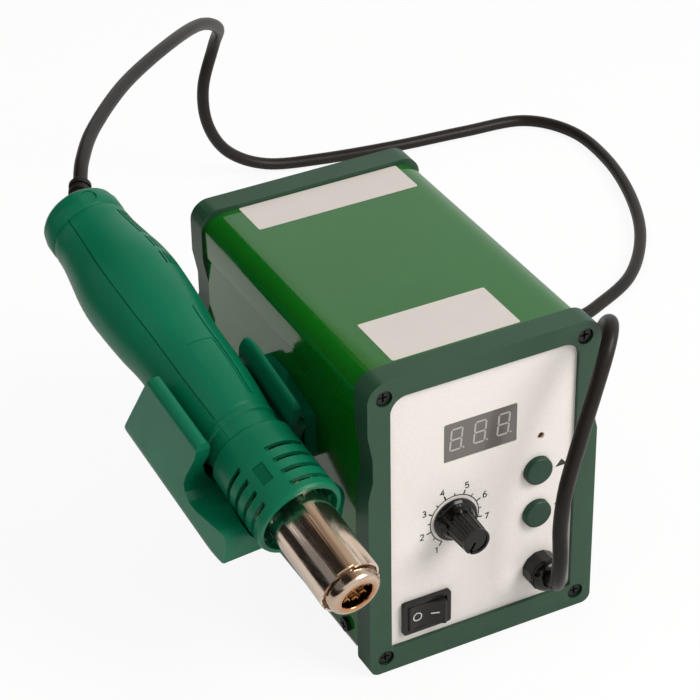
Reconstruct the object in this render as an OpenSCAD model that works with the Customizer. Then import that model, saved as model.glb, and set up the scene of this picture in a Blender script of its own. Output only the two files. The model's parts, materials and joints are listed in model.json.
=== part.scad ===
// Hot air rework station: a small bench case with its controls, a clip-on cradle on the left side,
// and a handset with its own blower, heater and cable. Millimetres, +Z up.
// The origin is the middle of the case's footprint on the bench. The front faces -Y.

/* [Case] */
// Width over the two end frames
station_w = 100; // [80:1:140]
// Height of the case from the bench
station_h = 136; // [110:1:180]
// Depth over the two end frames
station_d = 152; // [120:1:200]
// Depth of each end frame
bezel_t = 10.5; // [8:0.5:16]
// Radius of the upper corners of the end frames
bezel_r = 8; // [6:0.5:14]
// Radius of the lower corners of the end frames
bezel_foot_r = 4; // [2:0.5:8]
// How far the cover lies inside the end frames
cover_inset = 2; // [1:0.25:4]
// Thickness of the sheet metal
sheet_t = 1; // [0.8:0.1:2]
// Width of the frame beside the panel
frame_w = 9.5; // [8.5:0.1:14]
// Width of the frame above the panel
frame_top = 8.2; // [8:0.1:14]
// Width of the frame below the panel
frame_foot = 10.8; // [10:0.1:14]
// How deep the panel lies in its frame
panel_recess = 1.7; // [1:0.1:3]
// Thickness of the two panels
panel_t = 1.2; // [1:0.1:2.5]

/* [Controls] */
// Outside radius of the dial knob's skirt
knob_skirt_r = 9.25; // [7.5:0.25:12]
// Radius of the fluted knob body at the skirt
knob_r = 6.3; // [5.6:0.1:8]
// Height of the knob's face above the panel
knob_h = 17; // [12:0.5:24]
// Turn of the dial from its lowest to its highest number
dial_turn = 297; // [250:1:300]
// Radius of the two push buttons
button_r = 6; // [4:0.25:8]
// How far the buttons stand out
button_h = 2.5; // [2:0.25:6]
// Travel of the push buttons
button_travel = 1.2; // [0.6:0.1:2]
// Width of the power switch's rim
rocker_w = 21; // [19:0.5:30]
// Height of the power switch's rim
rocker_hh = 15; // [13:0.5:22]
// Swing of the power switch
rocker_swing = 20; // [14:1:24]

/* [Handset] */
// Outside radius of the heat tube, the seat of the nozzles
tube_r = 12.5; // [10:0.25:14]
// Length of bare heat tube in front of the collar
tube_out = 35; // [25:1:50]
// How far the domed end stands out of the heat tube
dome_out = 5; // [3.5:0.5:8]
// Radius of the air outlet in the domed end
outlet_r = 6.5; // [4:0.1:7]
// Outside radius of the slotted collar at its front
collar_r = 18; // [16.5:0.25:22]
// Length of the slotted collar
collar_l = 36; // [32:1:44]
// Wall of the moulded shells
shell_t = 2.2; // [1.8:0.1:3]
// Tilt of the handset in its cradle
handle_tilt = 16; // [0:0.5:30]
// Turn of the handset away from the case
handle_yaw = 5.2; // [0:0.2:10]

/* [Cradle] */
// Thickness of the cradle's two walls
cradle_wall = 6.2; // [4:0.2:9]
// Gap between the collar and the cradle
cradle_gap = 0.6; // [0.4:0.1:1.5]

/* [Cable] */
// Radius of the handset's cable
cable_r = 2.8; // [2:0.1:4]

/* [Hidden] */
// Roundness of the turned shapes
$fn = 64;
// Sides of the cable
cable_sides = 10;
// Small gap between seated pieces of one body
seat = 0.05;
// Running fit of turning and sliding pieces, on the radius
fit = 0.08;

// Half sizes of the case
hw = station_w / 2;
hd = station_d / 2;
// Screw places of the end frames
scr_x = hw - 7;
scr_z0 = 7;
scr_z1 = station_h - 7;
// Half width, bottom and top of the panel opening
op_x = hw - frame_w;
op_z0 = frame_foot;
op_z1 = station_h - frame_top;
// Its corner radius at the top and at the bottom
op_r = 7;
op_foot_r = 1.5;
// The panels reach under the frame all round
lap = 2;
pn_x = op_x + lap;
pn_z0 = op_z0 - lap;
pn_z1 = op_z1 + lap;
pn_r = op_r + lap;
pn_foot_r = op_foot_r + lap;
// Front and back of the front panel
py = -hd + panel_recess;
pyb = py + panel_t;
// Cover outside
cv_x = hw - cover_inset;
cv_z = station_h - cover_inset;
cv_r = max(bezel_r - cover_inset, 3.5);
cv_z0 = 5;
// Tray sheet
tr_z = 2;
tr_top = tr_z + sheet_t + 0.2;
tr_x = cv_x - sheet_t - 0.1;
tr_y = hd - bezel_t - 0.1;
// Tongue of the end frames inside the cover
tg_x = cv_x - sheet_t - 0.3;
tg_z0 = tr_top + 0.2;
tg_z1 = cv_z - sheet_t - 0.3;
tg_r = cv_r - sheet_t - 0.3;
tg_l = 6;
tab_y = hd - bezel_t - tg_l - 0.3;
// Cover screws
cs_y = hd - 23;
cs_z = 9.8;

// The panel's layout follows the case
kx = station_w / 100;
kz = station_h / 136;
// Dial
dial_x = -12.1 * kx;
dial_z = 62.7 * kz;
knob_gap = 0.4;
knob_y = py - knob_gap;
shaft_r = 3;
// Buttons
btn_x = 24.3 * kx;
btn_z = [72.9 * kz, 52.4 * kz];
// Trimmer
cal_x = 25.6 * kx;
cal_z = 88.3 * kz;
cal_r = 1.9;
// Window of the display
win_x0 = -1.1 * kx - 15.7;
win_x1 = win_x0 + 31.4;
win_z0 = 90 * kz;
win_z1 = win_z0 + 17.1;
// Power switch
rk_x = -24.9 * kx;
rk_z = 22.5 * kz;
rk_wall = 1.8;
rk_in_x = rocker_w / 2 - rk_wall;
rk_in_z = rocker_hh / 2 - rk_wall;
rk_y = py + 0.1;
rk_pin_r = 1.2;
// Gland of the handset cable
gl_x = 26.3 * kx;
gl_z = 25.2 * kz;
gl_out = 9.7;
gl_mouth = 5.7;
gl_dish = 1.3;
gl_y = py - gl_out;
// Boards
cb_y = pyb + 9.1;
cb_t = 1.6;
cb_x = 34 * kx;
cb_z = 40.5 * kz;
mb_z = 10;
mb_t = 1.6;
// Mains gland on the back
mg_x = -22 * kx;
mg_z = 24 * kz;
mg_bore = 3.6;
bpy = hd - panel_recess;

// The handset's own frame: tip of the heat tube, then along its axis
tip = [-hw - collar_r - 5.1, -hd - 29.6, 74.5 * kz];
ax_u = [cos(handle_yaw), sin(handle_yaw), 0];
ax_t = [-sin(handle_yaw) * cos(handle_tilt), cos(handle_yaw) * cos(handle_tilt), sin(handle_tilt)];
ax_n = [sin(handle_yaw) * sin(handle_tilt), -cos(handle_yaw) * sin(handle_tilt), cos(handle_tilt)];
// Seam of the shells, as an angle around the axis
seam = 132;
// Middle of the slotted groups of the collar
mid = 122.5;
col_t0 = tube_out;
col_t1 = tube_out + collar_l;
col_rear = collar_r - 0.8;
neck_r = collar_r - 2.8;
neck_in = neck_r - 1.2;
sh_t0 = col_t1 + 0.4;
sh_t1 = sh_t0 + 126.6;
cap_t1 = sh_t1 + 14;
shield_r = tube_r + 1.3;
fan_t = sh_t0 + 80;
fan_r = collar_r - 3.4;
fan_ring = fan_r + 0.7;
motor_r = 7.5;
boot_t = sh_t1 + 5;
boot_turn = 30;
boot_l = 26;
boot_r = 5;
boot_u = -3;
hs_t = [sh_t0 + 40, sh_t0 + 115.5];
hs_s = 7.8 - collar_r;

// Cradle section
cr_r = collar_r + cradle_gap;
cr_in = cr_r + 1.2;
cr_out = cr_in + cradle_wall;
cr_top = 16.5;
cr_t0 = col_t0 + 7.5;
cr_base = -34.5;
ft_z0 = tip[2] - 0.5;
ft_z1 = ft_z0 + 28;
ft_y0 = tip[1] + 75.6;
ft_y1 = ft_y0 + 42;
hsc_y = [ft_y0 + 12, ft_y0 + 32];
hsc_z = ft_z0 + 14;

function on_handle(u, t, h) = tip + ax_u * u + ax_t * t + ax_n * h;
boot_dir = ax_t * cos(boot_turn) + ax_u * sin(boot_turn);
cord_end = on_handle(boot_u, boot_t, 0) + boot_dir * (boot_l + seat);

// Shell outline: place along the axis behind the collar, and radius beside the collar's
shell_pts = [[11.6, -2.1], [20, -1.2], [33.6, -0.2], [54.6, 0.1], [67.6, 1.5], [80.6, 2.4],
  [92, 2.7], [100.6, 2], [109.6, 0.5], [118.6, -0.9], [124.6, -1.3], [126.6, -1.9]];
shell_n = len(shell_pts);
function pick(p, i) = p[min(max(i, 0), len(p) - 1)];
function spline(a, b, c, d, k) = 0.5 * (2 * b + (c - a) * k + (2 * a - 5 * b + 4 * c - d) * k * k
  + (3 * b - a - 3 * c + d) * k * k * k);
function smooth(p, n) = [for (i = [0 : len(p) - 2]) for (k = [0 : n - 1])
  spline(pick(p, i - 1), p[i], p[i + 1], pick(p, i + 2), k / n), p[len(p) - 1]];
shell_out = [for (q = smooth(shell_pts, 4)) [collar_r + q[1], sh_t0 + q[0]]];
neck_out = [[neck_r, sh_t0], [neck_r, sh_t0 + 6.6], [neck_r + 0.7, sh_t0 + 7.2], [neck_r + 0.7, sh_t0 + 9],
  [neck_r + 0.3, sh_t0 + 9.4], [neck_r + 0.3, sh_t0 + 10.6]];
shell_in = [for (q = shell_out)
  [q[1] > sh_t1 - 8 ? max(q[0] - shell_t, collar_r - 3.6) : q[0] - shell_t, q[1]]];
neck_inside = [[neck_in, sh_t0], [neck_in, sh_t0 + 9.5]];

// Cable route from the gland to the boot, chosen by hand on the bench
bench_z = cable_r + 0.1;
route = [[25.6, -86.2, 26.2], [24.2, -90.2, 28.4], [21.8, -95.6, 33], [20, -99, 40], [19.4, -100.6, 49.8],
  [19.6, -99.6, 63.6], [21.8, -99, 80], [28, -97.2, 98.2], [34.6, -95.6, 116.4], [40.4, -93.4, 130.4],
  [46.6, -87.2, 136], [51.6, -78.8, 134.4], [55, -69, 124.5], [58, -54, 98], [62, -32, 60], [66, -16, 36],
  [72, 0, 18],
  [81, 20, 6.5], [95, 46, 0], [137, 92, 0], [166, 104, 0], [196, 120, 0],
  [221, 149, 0], [238, 184, 0], [248, 222, 0], [248, 256, 0], [232, 279, 0], [198, 284, 0],
  [158, 288, 0], [118, 295, 0], [90, 300, 5.5], [70, 302, 17], [59, 301, 36], [57, 300, 58],
  [62, 296, 82], [58, 281, 99], [38, 257, 116], [8, 224, 128], [-30, 186, 135], [-60, 150, 138],
  [-75.5, 126, 138.3]];
// The same route around a case of another size
function around(p) = [p[0] > 40 ? p[0] + hw - 50 : p[0] > 0 ? p[0] * kx : p[0] + tip[0] + 73.1,
  p[1] < -70 ? p[1] - hd + 76 : p[1] > 100 ? p[1] + tip[1] + 105.6 : p[1], max(p[2] * kz, bench_z)];
cord_pts = concat([[gl_x, gl_y + gl_dish - seat, gl_z]], [for (p = route) around(p)], [cord_end]);

module rrect(x0, x1, z0, z1, r) {
  translate([x0 + r, z0]) square([x1 - x0 - 2 * r, z1 - z0]);
  translate([x0, z0 + r]) square([x1 - x0, z1 - z0 - 2 * r]);
  for (x = [x0 + r, x1 - r]) for (z = [z0 + r, z1 - r]) translate([x, z]) circle(r = r);
}
// The same with another radius at the top than at the bottom
module frame_rect(x0, x1, z0, z1, rt, rb) {
  zm = (z0 + z1) / 2;
  rrect(x0, x1, zm - rt - 1, z1, rt);
  rrect(x0, x1, z0, zm + rb + 1, rb);
}
module wall(y0, y1) {
  translate([0, y1, 0]) rotate([90, 0, 0]) linear_extrude(y1 - y0) children();
}
module cyl(x, z, y0, y1, r) {
  translate([x, y1, z]) rotate([90, 0, 0]) cylinder(h = y1 - y0, r = r);
}
module cone(x, z, y0, y1, r0, r1) {
  translate([x, y1, z]) rotate([90, 0, 0]) cylinder(h = y1 - y0, r1 = r1, r2 = r0);
}
module cylx(y, z, x0, x1, r) {
  translate([x0, y, z]) rotate([0, 90, 0]) cylinder(h = x1 - x0, r = r);
}
module blk(x0, x1, y0, y1, z0, z1) {
  translate([x0, y0, z0]) cube([x1 - x0, y1 - y0, z1 - z0]);
}
module in_handle() {
  translate(tip) rotate([0, 0, handle_yaw]) rotate([handle_tilt, 0, 0]) children();
}
module on_axis(t) {
  in_handle() translate([0, t, 0]) rotate([-90, 0, 0]) children();
}
module ring(t0, t1, r0, r1) {
  translate([0, 0, t0]) difference() {
    cylinder(h = t1 - t0, r = r1);
    translate([0, 0, -1]) cylinder(h = t1 - t0 + 2, r = r0);
  }
}
module cross_head(r, h) {
  difference() {
    cylinder(h = h, r = r);
    translate([-r * 0.62, -0.35, -1]) cube([r * 1.24, 0.7, h * 0.55 + 1]);
    translate([-0.35, -r * 0.62, -1]) cube([0.7, r * 1.24, h * 0.55 + 1]);
  }
}

// End frames, panels and cover

module bezel_outline() {
  difference() {
    frame_rect(-hw, hw, 0, station_h, bezel_r, bezel_foot_r);
    for (m = [0, 1]) mirror([m, 0]) polygon([[hw + 1, station_h - 53], [hw, station_h - 51],
      [hw - cover_inset, station_h - 43], [hw - cover_inset, station_h - 33], [hw, station_h - 22],
      [hw + 1, station_h - 20]]);
  }
}
module bezel() {
  difference() {
    union() {
      wall(-hd, -hd + bezel_t) bezel_outline();
      wall(-hd + bezel_t - 1, -hd + bezel_t + tg_l) intersection() {
        rrect(-tg_x, tg_x, tg_z0, tg_z1, tg_r);
        union() {
          difference() {
            rrect(-tg_x, tg_x, tg_z0, tg_z1, tg_r);
            rrect(-tg_x + 2, tg_x - 2, tg_z0 + 2, tg_z1 - 2, max(tg_r - 2, 0.5));
          }
          for (x = [-scr_x, scr_x]) for (z = [scr_z0, scr_z1]) translate([x, z]) circle(r = 3.6);
        }
      }
    }
    wall(-hd - 1, -hd + bezel_t) frame_rect(-op_x, op_x, op_z0, op_z1, op_r, op_foot_r);
    wall(py, -hd + bezel_t) frame_rect(-pn_x - 0.1, pn_x + 0.1, pn_z0 - 0.1, pn_z1 + 0.1,
      pn_r + 0.1, pn_foot_r + 0.1);
    for (x = [-scr_x, scr_x]) for (z = [scr_z0, scr_z1]) {
      cyl(x, z, -hd - 1, -hd + 3.1, 3.4);
      cyl(x, z, -hd - 1, -hd + bezel_t + tg_l + 1, 1.7);
    }
  }
}
module frame_screws() {
  for (x = [-scr_x, scr_x]) for (z = [scr_z0, scr_z1]) {
    translate([x, -hd + 1, z]) rotate([-90, 0, 0]) cross_head(3, 2.05);
    cyl(x, z, -hd + 3, -tab_y + 2.6, 1.5);
  }
}
module front_bezel() color("darkgreen") bezel();
module rear_bezel() color("darkgreen") mirror([0, 1, 0]) bezel();
module front_screws() color("dimgray") frame_screws();
module rear_screws() color("dimgray") mirror([0, 1, 0]) frame_screws();

module front_panel() color("gainsboro") {
  difference() {
    wall(py, pyb) frame_rect(-pn_x, pn_x, pn_z0, pn_z1, pn_r, pn_foot_r);
    wall(py - 1, pyb + 1) rrect(win_x0 - 0.15, win_x1 + 0.15, win_z0 - 0.15, win_z1 + 0.15, 0.8);
    for (z = btn_z) cyl(btn_x, z, py - 1, pyb + 1, button_r + fit);
    cyl(dial_x, dial_z, py - 1, pyb + 1, 3.6);
    cyl(cal_x, cal_z, py - 1, pyb + 1, 1.5);
    cyl(gl_x, gl_z, py - 1, pyb + 1, 5.1);
    blk(rk_x - rocker_w / 2 + 0.9, rk_x + rocker_w / 2 - 0.9, py - 1, pyb + 1,
      rk_z - rocker_hh / 2 + 0.9, rk_z + rocker_hh / 2 - 0.9);
  }
}
module rear_panel() color("gainsboro") {
  difference() {
    wall(bpy - panel_t, bpy) frame_rect(-pn_x, pn_x, pn_z0, pn_z1, pn_r, pn_foot_r);
    for (i = [0 : 7]) for (x = [-19, 19]) wall(bpy - panel_t - 1, bpy + 1)
      rrect(x - 14, x + 14, station_h * 0.46 + i * 6, station_h * 0.46 + i * 6 + 2.4, 1.15);
    cyl(mg_x, mg_z, bpy - panel_t - 1, bpy + 1, 6.1);
  }
}
module case_cover() color("green") {
  difference() {
    union() {
      wall(-hd + bezel_t, hd - bezel_t) difference() {
        intersection() {
          rrect(-cv_x, cv_x, -20, cv_z, cv_r);
          translate([-hw, cv_z0]) square([station_w, station_h]);
        }
        rrect(-cv_x + sheet_t, cv_x - sheet_t, -20, cv_z - sheet_t, cv_r - sheet_t);
      }
      for (s = [-1, 1]) for (x = [-scr_x, scr_x]) {
        y = s * (tab_y - 0.6);
        wall(y - 0.6, y + 0.6) intersection() {
          rrect(-cv_x + sheet_t / 2, cv_x - sheet_t / 2, 0, cv_z - sheet_t / 2, cv_r - sheet_t / 2);
          translate([x - 5, scr_z1 - 6]) square([10, 12]);
        }
      }
    }
    for (x = [-scr_x, scr_x]) cyl(x, scr_z1, -hd, hd, 1.55);
    for (y = [-cs_y, cs_y]) cylx(y, cs_z, -hw, hw, 1.75);
    for (y = hsc_y) cylx(y, hsc_z, -hw, 0, 2.1);
  }
}
module base_tray() color("silver") {
  difference() {
    union() {
      blk(-tr_x, tr_x, -tab_y + 0.5, tab_y - 0.5, tr_z, tr_top);
      blk(-tr_x + 1, tr_x - 1, -tr_y, tr_y, tr_z, tr_top);
      for (s = [-1, 1]) {
        blk(s * (tr_x - sheet_t / 2) - sheet_t / 2, s * (tr_x - sheet_t / 2) + sheet_t / 2,
          -tab_y + 0.5, tab_y - 0.5, tr_z, tr_z + 22);
        for (m = [0, 1]) mirror([m, 0, 0]) blk(scr_x - 4, tr_x - 0.5, s * (tab_y - 0.6) - 0.6,
          s * (tab_y - 0.6) + 0.6, tr_z + 0.5, scr_z0 + 5);
      }
    }
    for (x = [-scr_x, scr_x]) cyl(x, scr_z0, -hd, hd, 1.55);
    for (y = [-cs_y, cs_y]) cylx(y, cs_z, -hw, hw, 1.5);
  }
}
module cover_screws() color("dimgray") {
  for (m = [0, 1]) mirror([m, 0, 0]) for (y = [-cs_y, cs_y]) {
    translate([-cv_x - 1.7, y, cs_z]) rotate([0, 90, 0]) cross_head(3.1, 1.65);
    cylx(y, cs_z, -cv_x - 0.3, -cv_x + 5, 1.45);
  }
}
module base_pad() color("black") {
  linear_extrude(tr_z - seat) difference() {
    rrect(-tr_x + 7, tr_x - 7, -tab_y + 7, tab_y - 7, 6);
    rrect(-tr_x + 17, tr_x - 17, -tab_y + 17, tab_y - 17, 4);
  }
}

// Display and controls

module display_window() color("black") {
  wall(py + 0.25, pyb + 0.6) rrect(win_x0, win_x1, win_z0, win_z1, 0.7);
  wall(pyb + seat, pyb + 1.1) rrect(win_x0 - 2, win_x1 + 2, win_z0 - 2, win_z1 + 2, 1);
}
module display_module() color("dimgray") {
  blk(win_x0 + 0.6, win_x1 - 0.6, pyb + 1.2, cb_y - seat, win_z0 + 0.5, win_z1 - 0.5);
}
module control_board() color("darkgreen") {
  difference() {
    blk(-cb_x, cb_x, cb_y, cb_y + cb_t, cb_z, win_z1 + 6);
    cyl(dial_x, dial_z, cb_y - 1, cb_y + cb_t + 1, 4);
  }
}
module board_pillars() color("silver") {
  for (x = [-cb_x + 2.7, cb_x - 2.7]) for (z = [cb_z + 2.9, win_z1 + 3])
    cyl(x, z, pyb + seat, cb_y - seat, 2.4);
}
module tact_switches() color("black") {
  for (z = btn_z) {
    blk(btn_x - 3.1, btn_x + 3.1, cb_y - 3.6, cb_y - seat, z - 3.1, z + 3.1);
    cyl(btn_x, z, cb_y - 4.4, cb_y - 3.5, 1.75);
  }
}
module button(z) {
  translate([btn_x, pyb + 0.7, z]) rotate([90, 0, 0]) rotate_extrude() {
    square([button_r - 0.9, pyb + 0.7 - py + button_h]);
    square([button_r, pyb - 0.2 - py + button_h]);
    translate([button_r - 0.9, pyb - 0.2 - py + button_h]) circle(r = 0.9);
  }
  cyl(btn_x, z, pyb + 0.4, pyb + 1.4, button_r + 1.2);
  cyl(btn_x, z, pyb + 1.3, cb_y - 4.5 - button_travel, 2);
}
module up_button() color("darkgreen") button(btn_z[0]);
module down_button() color("darkgreen") button(btn_z[1]);

module pot_body() color("gray") {
  difference() {
    union() {
      cyl(dial_x, dial_z, pyb + seat, cb_y - seat, 8.2);
      cyl(dial_x, dial_z, py - 2, pyb + 0.5, 3.5);
    }
    cyl(dial_x, dial_z, py - 3, cb_y - 2, shaft_r + 0.06);
  }
}
module pot_nut() color("silver") {
  difference() {
    translate([dial_x, py - seat, dial_z]) rotate([90, 0, 0]) cylinder(h = 1.6, r = 5, $fn = 6);
    cyl(dial_x, dial_z, py - 3, py + 1, 3.55);
  }
}
module d_shape(r) {
  difference() {
    circle(r = r);
    translate([-r, r * 0.5]) square([2 * r, r]);
  }
}
module pot_shaft() color("silver") {
  cyl(dial_x, dial_z, py - 2.6, cb_y - 2.2, shaft_r);
  translate([dial_x, 0, dial_z]) wall(py - knob_h + 4, py - 2.5) d_shape(shaft_r);
}
module air_knob() color("black") {
  y1 = py - knob_h;
  difference() {
    union() {
      cyl(dial_x, dial_z, knob_y - 1.2, knob_y, knob_skirt_r);
      cone(dial_x, dial_z, knob_y - 2.1, knob_y - 1.2, knob_skirt_r - 0.8, knob_skirt_r);
      cone(dial_x, dial_z, knob_y - 4.8, knob_y - 2, knob_r - 0.1, knob_skirt_r - 1.4);
      cone(dial_x, dial_z, y1, knob_y - 2, knob_r - 0.7, knob_r);
    }
    cyl(dial_x, dial_z, knob_y - 2.3, knob_y + 1, 5.7);
    translate([dial_x, 0, dial_z]) wall(y1 + 3.9, py) d_shape(shaft_r + 0.03);
    cyl(dial_x, dial_z, y1 - 1, y1 + 0.5, knob_r - 1.7);
    for (i = [0 : 11]) translate([dial_x, 0, dial_z]) rotate([0, i * 30 + 15, 0])
      translate([knob_r + 0.2, knob_y - 4.4, 0]) rotate([90, 0, -2.7])
      cylinder(h = knob_h - 5.8, r = 0.95, $fn = 24);
    translate([dial_x, 0, dial_z]) rotate([0, -90 - dial_turn / 2, 0])
      blk(0.6, knob_r + 1, y1 - 1, y1 + 1.1, -0.5, 0.5);
  }
}
module trimmer_body() color("royalblue") {
  difference() {
    blk(cal_x - 3.4, cal_x + 3.4, pyb + 2, cb_y - seat, cal_z - 3.4, cal_z + 3.4);
    cyl(cal_x, cal_z, pyb, cb_y - 2, cal_r + fit);
  }
}
module cal_trimmer() color("gold") {
  difference() {
    cyl(cal_x, cal_z, pyb + 0.4, cb_y - 2.3, cal_r);
    blk(cal_x - 3, cal_x + 3, pyb, pyb + 1.2, cal_z - 0.35, cal_z + 0.35);
  }
}

// Power switch

module rocker_frame() color("black") {
  difference() {
    union() {
      wall(py - 2, py - seat) rrect(rk_x - rocker_w / 2, rk_x + rocker_w / 2,
        rk_z - rocker_hh / 2, rk_z + rocker_hh / 2, 1);
      blk(rk_x - rocker_w / 2 + 1, rk_x + rocker_w / 2 - 1, py - 1, py + 15,
        rk_z - rocker_hh / 2 + 1, rk_z + rocker_hh / 2 - 1);
      for (x = [-6, 0, 6]) blk(rk_x + x - 0.4, rk_x + x + 0.4, py + 14, py + 22, rk_z - 2.4, rk_z + 2.4);
    }
    blk(rk_x - rk_in_x, rk_x + rk_in_x, py - 3, py + 12, rk_z - rk_in_z, rk_z + rk_in_z);
    translate([rk_x, rk_y, rk_z - rk_in_z - 0.75]) cylinder(h = 2 * rk_in_z + 1.5, r = rk_pin_r + 0.06);
  }
}
module rocker() color("dimgray") {
  w = rk_in_x - 0.8;
  translate([rk_x, rk_y, rk_z]) rotate([0, 0, -rocker_swing / 2]) {
    translate([0, 0, -rk_in_z + 0.3]) linear_extrude(2 * rk_in_z - 0.6) polygon([[-w, -3.4],
      [-w + 0.7, -3.9], [-w * 0.55, -2.9], [0, -2.3], [w * 0.55, -2.9], [w - 0.7, -3.9], [w, -3.4],
      [w, -0.6], [3, 3], [-3, 3], [-w, -0.6]]);
    translate([0, 0, -rk_in_z - 0.65]) cylinder(h = 2 * rk_in_z + 1.3, r = rk_pin_r);
  }
}

// Glands

module cable_gland() color("black") {
  translate([gl_x, py - seat, gl_z]) rotate([90, 15, 0]) cylinder(h = gl_out - 3.5, r = 7.5, $fn = 12);
  difference() {
    translate([gl_x, gl_y + 3.6, gl_z]) rotate([90, 0, 0]) rotate_extrude() polygon([[0, 0], [7.1, 0],
      [7.1, 0.6], [6.9, 1.5], [6.4, 2.5], [gl_mouth, 3.2], [gl_mouth - 0.9, 3.6], [0, 3.6]]);
    cone(gl_x, gl_z, gl_y - 0.01, gl_y + gl_dish, cable_r + 1.1, cable_r + 0.3);
  }
  cyl(gl_x, gl_z, py - 1, pyb + 6, 5);
}
module gland_nut() color("black") {
  difference() {
    translate([gl_x, pyb + 3.55, gl_z]) rotate([90, 0, 0]) cylinder(h = 3.5, r = 7.6, $fn = 6);
    cyl(gl_x, gl_z, pyb - 1, pyb + 5, 5.05);
  }
}
module mains_gland() color("black") {
  difference() {
    union() {
      cyl(mg_x, mg_z, bpy + seat, bpy + 2, 9);
      cone(mg_x, mg_z, bpy + 1.9, bpy + 13, 8, 6.2);
      cyl(mg_x, mg_z, bpy - panel_t - 7, bpy + 1, 6);
    }
    cyl(mg_x, mg_z, bpy - 20, bpy + 20, mg_bore);
  }
}
module mains_nut() color("black") {
  difference() {
    translate([mg_x, bpy - panel_t - seat, mg_z]) rotate([90, 0, 0]) cylinder(h = 4, r = 9, $fn = 6);
    cyl(mg_x, mg_z, bpy - 10, bpy, 6.05);
  }
}

// Power board

module main_board() color("darkgreen") blk(-40, 40, -46, hd - 26, mb_z, mb_z + mb_t);
module board_posts() color("silver") {
  for (x = [-35, 35]) for (y = [-41, hd - 31]) translate([x, y, tr_top + seat])
    cylinder(h = mb_z - tr_top - 2 * seat, r = 3);
}
module transformer_core() color("dimgray") {
  difference() {
    blk(-16, 36, 8, 30, mb_z + mb_t + 3, mb_z + mb_t + 47);
    for (x = [-7.5, 16.5]) blk(x, x + 11, 5, 33, mb_z + mb_t + 11, mb_z + mb_t + 39);
  }
  for (x = [-15, 29]) blk(x, x + 6, 8, 30, mb_z + mb_t + seat, mb_z + mb_t + 4);
}
module transformer_coil() color("goldenrod") {
  difference() {
    blk(-7.1, 27.1, 1, 37, mb_z + mb_t + 11.4, mb_z + mb_t + 38.6);
    blk(3.2, 16.8, 7.7, 30.3, mb_z + mb_t + 10, mb_z + mb_t + 40);
  }
}
module heatsink() color("silver") {
  blk(-36, -32, -30, 20, mb_z + mb_t + seat, mb_z + mb_t + 42);
  for (i = [0 : 6]) blk(-32.5, -22, -29 + i * 8, -27 + i * 8, mb_z + mb_t + 4, mb_z + mb_t + 42);
}
module board_parts() color("navy") {
  for (p = [[0, -14, 6.5, 24], [17, -12, 5, 18], [30, -22, 5, 18], [-10, -34, 4, 12]])
    translate([p[0], p[1], mb_z + mb_t + seat]) cylinder(h = p[3], r = p[2]);
  blk(8, 32, -42, -33, mb_z + mb_t + seat, mb_z + mb_t + 10);
  blk(-30, -12, -42, -40, mb_z + mb_t + seat, mb_z + mb_t + 8);
}

// Cradle on the case's left side

module cradle_section() {
  difference() {
    union() {
      translate([-cr_out, cr_base + 14]) square([2 * cr_out, cr_top - cradle_wall / 2 - cr_base - 14]);
      translate([-cr_out + 14, cr_base]) square([2 * cr_out - 28, 20]);
      for (s = [-1, 1]) {
        translate([s * (cr_out - 14), cr_base + 14]) circle(r = 14);
        translate([s * (cr_out - cradle_wall / 2), cr_top - cradle_wall / 2]) circle(r = cradle_wall / 2);
      }
    }
    circle(r = cr_r);
    translate([-cr_in, -3]) square([2 * cr_in, 60]);
  }
}
module cradle_side() {
  polygon([[64, 18], [31, 18], [28.8, 16.4], [27.7, 13.5], [28, 9], [30, 2], [32, -5], [32.5, -9.5],
    [31, -13], [27.5, -15], [22.5, -14.6], [15.5, -12], [7.5, -9], [3.5, -7.6], [1.5, -8], [0.4, -10],
    [0, -20.5], [1.5, -22], [12.5, -26], [22.5, -30], [33.5, -33.6], [39.5, -34.2], [49.5, -32],
    [61.5, -29.4], [76.5, -27.4], [77, -24]]);
}
module holder() color("seagreen") {
  difference() {
    union() {
      in_handle() intersection() {
        translate([0, cr_t0 + 90, 0]) rotate([90, 0, 0]) linear_extrude(100) cradle_section();
        translate([-50, cr_t0, 0]) rotate([90, 0, 90]) linear_extrude(100) cradle_side();
      }
      intersection() {
        in_handle() translate([cr_out - 2, cr_t0 + 36, -24]) cube([30, 34, 20]);
        blk(-100, -cv_x - 3, -100, 100, 0, station_h);
      }
      translate([-cv_x - 5, 0, 0]) rotate([90, 0, 90]) linear_extrude(5 - seat)
        rrect(ft_y0, ft_y1, ft_z0, ft_z1, 5);
    }
    for (y = hsc_y) cylx(y, hsc_z, -cv_x - 9, -cv_x + 1, 1.5);
    in_handle() translate([0, cr_t0 + 53, -cr_r - 6]) rotate([180, 0, 0]) cylinder(h = 30, r = 4.05);
  }
}
module holder_screws() color("silver") {
  for (y = hsc_y) {
    translate([-cv_x + sheet_t + 2.1, y, hsc_z]) rotate([0, -90, 0]) cross_head(3.2, 2.05);
    cylx(y, hsc_z, -cv_x - 8, -cv_x + sheet_t + 0.1, 1.45);
  }
}
module holder_magnet() color("silver") {
  in_handle() translate([0, cr_t0 + 53, -cr_r - 6.05]) rotate([180, 0, 0]) cylinder(h = 3, r = 4);
}

// Handset

module spin(a) rotate([0, 0, -a]) children();

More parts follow.
